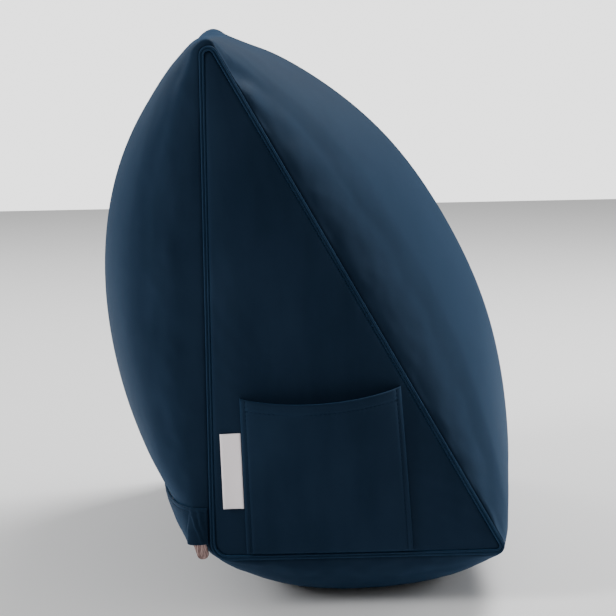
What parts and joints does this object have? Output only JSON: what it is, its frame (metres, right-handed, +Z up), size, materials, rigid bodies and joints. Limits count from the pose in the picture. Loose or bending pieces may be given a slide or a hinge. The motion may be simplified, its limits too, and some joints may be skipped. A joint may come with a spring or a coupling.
{
  "type": "wedge backrest pillow",
  "caption": "Wedge-shaped backrest pillow in velvet with welted triangular ends, domed long faces, a side pocket, a folded tab and a flap over its zip",
  "frame": {"origin": "middle of the flat patch under the base, on the surface that the pillow stands on", "axes": "+Z up; +X is the sloping front that a back leans on; +Y is the length, from the pocket end at -Y to the plain end"},
  "size_m": [0.3116, 0.524, 0.4061],
  "materials": {
    "velvet": "matte",
    "welt": "matte",
    "tab": "satin",
    "zip": "satin"
  },
  "bodies": {
    "root": {"cushion_body": "velvet", "welt_near_end": "welt", "welt_far_end": "welt", "side_pocket": "velvet", "label_tab": "tab", "zip_flap": "velvet", "zip_slider": "zip", "zip_pull": "zip"}
  },
  "joints": []
}
